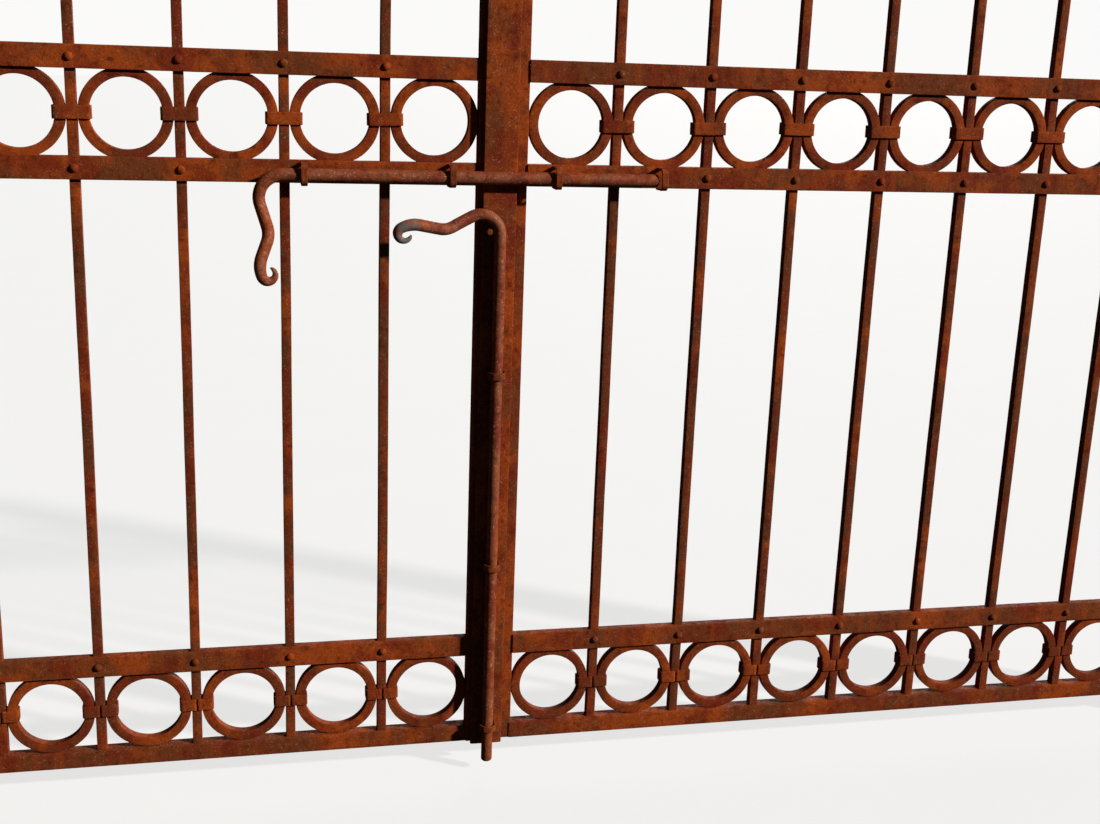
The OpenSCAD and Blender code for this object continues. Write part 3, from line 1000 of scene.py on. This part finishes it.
class GATE_OT_posts(bpy.types.Operator):
    """Make the posts and their caps"""

    bl_idname = "gate.posts"
    bl_label = "Posts and caps"

    def execute(self, context):
        for side in LEAVES:
            node = f"{side}_post"
            piece = make_solid(node, "post_iron", 4 * MM, 2, 65.0 + LEAVES.index(side))
            finished(piece, "posts", "post_iron", node)
            self.cap(f"{node}_cap")
        return {"FINISHED"}

    def cap(self, node):
        """A slab with worn edges under a low pyramid."""
        low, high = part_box(node)
        wide, tall = high.x - low.x, high.z - low.z
        corner = 4 * MM
        crown = wide - 12 * MM
        levels = [
            (0, wide - 4 * MM, 2 * MM), (1 * MM, wide - 1 * MM, 3 * MM), (3 * MM, wide, corner),
            (CAP_SLAB - 3 * MM, wide, corner), (CAP_SLAB - 1 * MM, wide - 1.5 * MM, corner),
            (CAP_SLAB, wide - 6 * MM, corner), (CAP_SLAB + 0.5 * MM, crown, corner),
        ]
        steps = 13
        for k in range(1, steps):
            left = 1 - k / steps
            levels.append((CAP_SLAB + (tall - CAP_SLAB) * (1 - left), crown * left, corner * left + 0.3 * MM))
        levels.append((tall, 2 * MM, 0.6 * MM))
        mesh = to_mesh(stack(levels, ((low.x + high.x) / 2, 0, low.z)), "cap")
        piece = grown(f"{node}_forged", "weathered", "post_iron", mesh, Seed=69.0, Dents=0.4 * MM)
        finished(piece, "posts", "post_iron", node)


class GATE_OT_stage(bpy.types.Operator):
    """Lay the floor and set the lights and the camera"""

    bl_idname = "gate.stage"
    bl_label = "Floor, lights and camera"

    def execute(self, context):
        stage = context.scene.gate_stage
        self.floor(stage)
        self.lights(stage)
        self.camera(stage)
        return {"FINISHED"}

    def floor(self, stage):
        half = stage.floor_size / 2
        mesh = bpy.data.meshes.new("floor")
        mesh.from_pydata([(-half, -half, 0), (half, -half, 0), (half, half, 0), (-half, half, 0)], [],
                         [(0, 1, 2, 3)])
        floor = bpy.data.objects.new("floor", mesh)
        bpy.context.scene.collection.objects.link(floor)
        paint = Shading("pale_floor")
        tone = paint.mix(paint.noise(3.0, 3.0, 0.5), (0.20, 0.199, 0.196, 1), (0.22, 0.219, 0.215, 1))
        paint.feed(paint.shader.inputs["Base Color"], tone)
        paint.shader.inputs["Roughness"].default_value = 0.95
        paint.shader.inputs["Emission Color"].default_value = (0.98, 0.98, 0.97, 1)
        paint.shader.inputs["Emission Strength"].default_value = 0.74
        paint.shader.inputs["Specular IOR Level"].default_value = 0.1
        mesh.materials.append(paint.material)
        floor.visible_diffuse = False
        floor.visible_glossy = False

    def lights(self, stage):
        world = bpy.data.worlds.new("studio")
        bpy.context.scene.world = world
        world.use_nodes = True
        nodes, links = world.node_tree.nodes, world.node_tree.links
        seen = nodes.new("ShaderNodeLightPath")
        mix = nodes.new("ShaderNodeMixShader")
        fill = nodes["Background"]
        fill.inputs["Color"].default_value = (0.66, 0.86, 1.0, 1)
        fill.inputs["Strength"].default_value = 0.04
        back = nodes.new("ShaderNodeBackground")
        back.inputs["Color"].default_value = (0.96, 0.955, 0.945, 1)
        back.inputs["Strength"].default_value = 1.0
        links.new(seen.outputs["Is Camera Ray"], mix.inputs[0])
        links.new(fill.outputs[0], mix.inputs[1])
        links.new(back.outputs[0], mix.inputs[2])
        links.new(mix.outputs[0], nodes["World Output"].inputs["Surface"])
        self.sun("key", stage.sun, stage.sun_angle, (1.58, -1.0, 0.92), (1.0, 0.96, 0.9))
        self.sun("rim", 2.0, math.radians(25), (0.45, 1.0, 0.22), (1.0, 0.98, 0.95))
        bpy.context.scene.view_settings.view_transform = "Standard"

    def sun(self, name, strength, angle, towards, tint):
        light = bpy.data.lights.new(name, "SUN")
        light.energy = strength
        light.angle = angle
        light.color = tint
        lamp = bpy.data.objects.new(name, light)
        lamp.rotation_mode = "QUATERNION"
        lamp.rotation_quaternion = Vector(towards).to_track_quat("Z", "Y")
        bpy.context.scene.collection.objects.link(lamp)

    def camera(self, stage):
        yaw, pitch, roll = stage.yaw, stage.pitch, stage.roll
        ahead = Vector((math.sin(yaw) * math.cos(pitch), math.cos(yaw) * math.cos(pitch), -math.sin(pitch)))
        right = Vector((math.cos(yaw), -math.sin(yaw), 0))
        down = ahead.cross(right)
        across = math.cos(roll) * right + math.sin(roll) * down
        down = math.cos(roll) * down - math.sin(roll) * right
        data = bpy.data.cameras.new("camera")
        data.lens = stage.lens
        camera = bpy.data.objects.new("camera", data)
        place = Matrix((across, -down, -ahead)).transposed().to_4x4()
        place.translation = stage.eye
        camera.matrix_world = place
        bpy.context.scene.collection.objects.link(camera)
        bpy.context.scene.camera = camera


OPERATORS = (
    GATE_OT_finishes, GATE_OT_bars, GATE_OT_rings, GATE_OT_rails, GATE_OT_stiles, GATE_OT_bolts,
    GATE_OT_bands, GATE_OT_hinges, GATE_OT_posts, GATE_OT_stage,
)


class GATE_PT_panel(bpy.types.Panel):
    """Lists what makes the gates."""

    bl_idname = "GATE_PT_panel"
    bl_label = "Driveway gates"
    bl_space_type = "VIEW_3D"
    bl_region_type = "UI"
    bl_category = "Gates"

    def draw(self, context):
        for group in (context.scene.gate_sizes, context.scene.gate_finish, context.scene.gate_stage):
            box = self.layout.box()
            for name in group.__annotations__:
                box.prop(group, name)
        for operator in OPERATORS:
            self.layout.operator(operator.bl_idname)


CLASSES = (GateSizes, GateFinish, GateStage, *OPERATORS, GATE_PT_panel)


def register():
    for cls in CLASSES:
        bpy.utils.register_class(cls)
    bpy.types.Scene.gate_sizes = bpy.props.PointerProperty(type=GateSizes)
    bpy.types.Scene.gate_finish = bpy.props.PointerProperty(type=GateFinish)
    bpy.types.Scene.gate_stage = bpy.props.PointerProperty(type=GateStage)


def unregister():
    del bpy.types.Scene.gate_stage
    del bpy.types.Scene.gate_finish
    del bpy.types.Scene.gate_sizes
    for cls in reversed(CLASSES):
        bpy.utils.unregister_class(cls)


def main():
    register()
    for operator in OPERATORS:
        group, name = operator.bl_idname.split(".")
        getattr(getattr(bpy.ops, group), name)()
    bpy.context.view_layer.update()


if __name__ == "__main__":
    main()
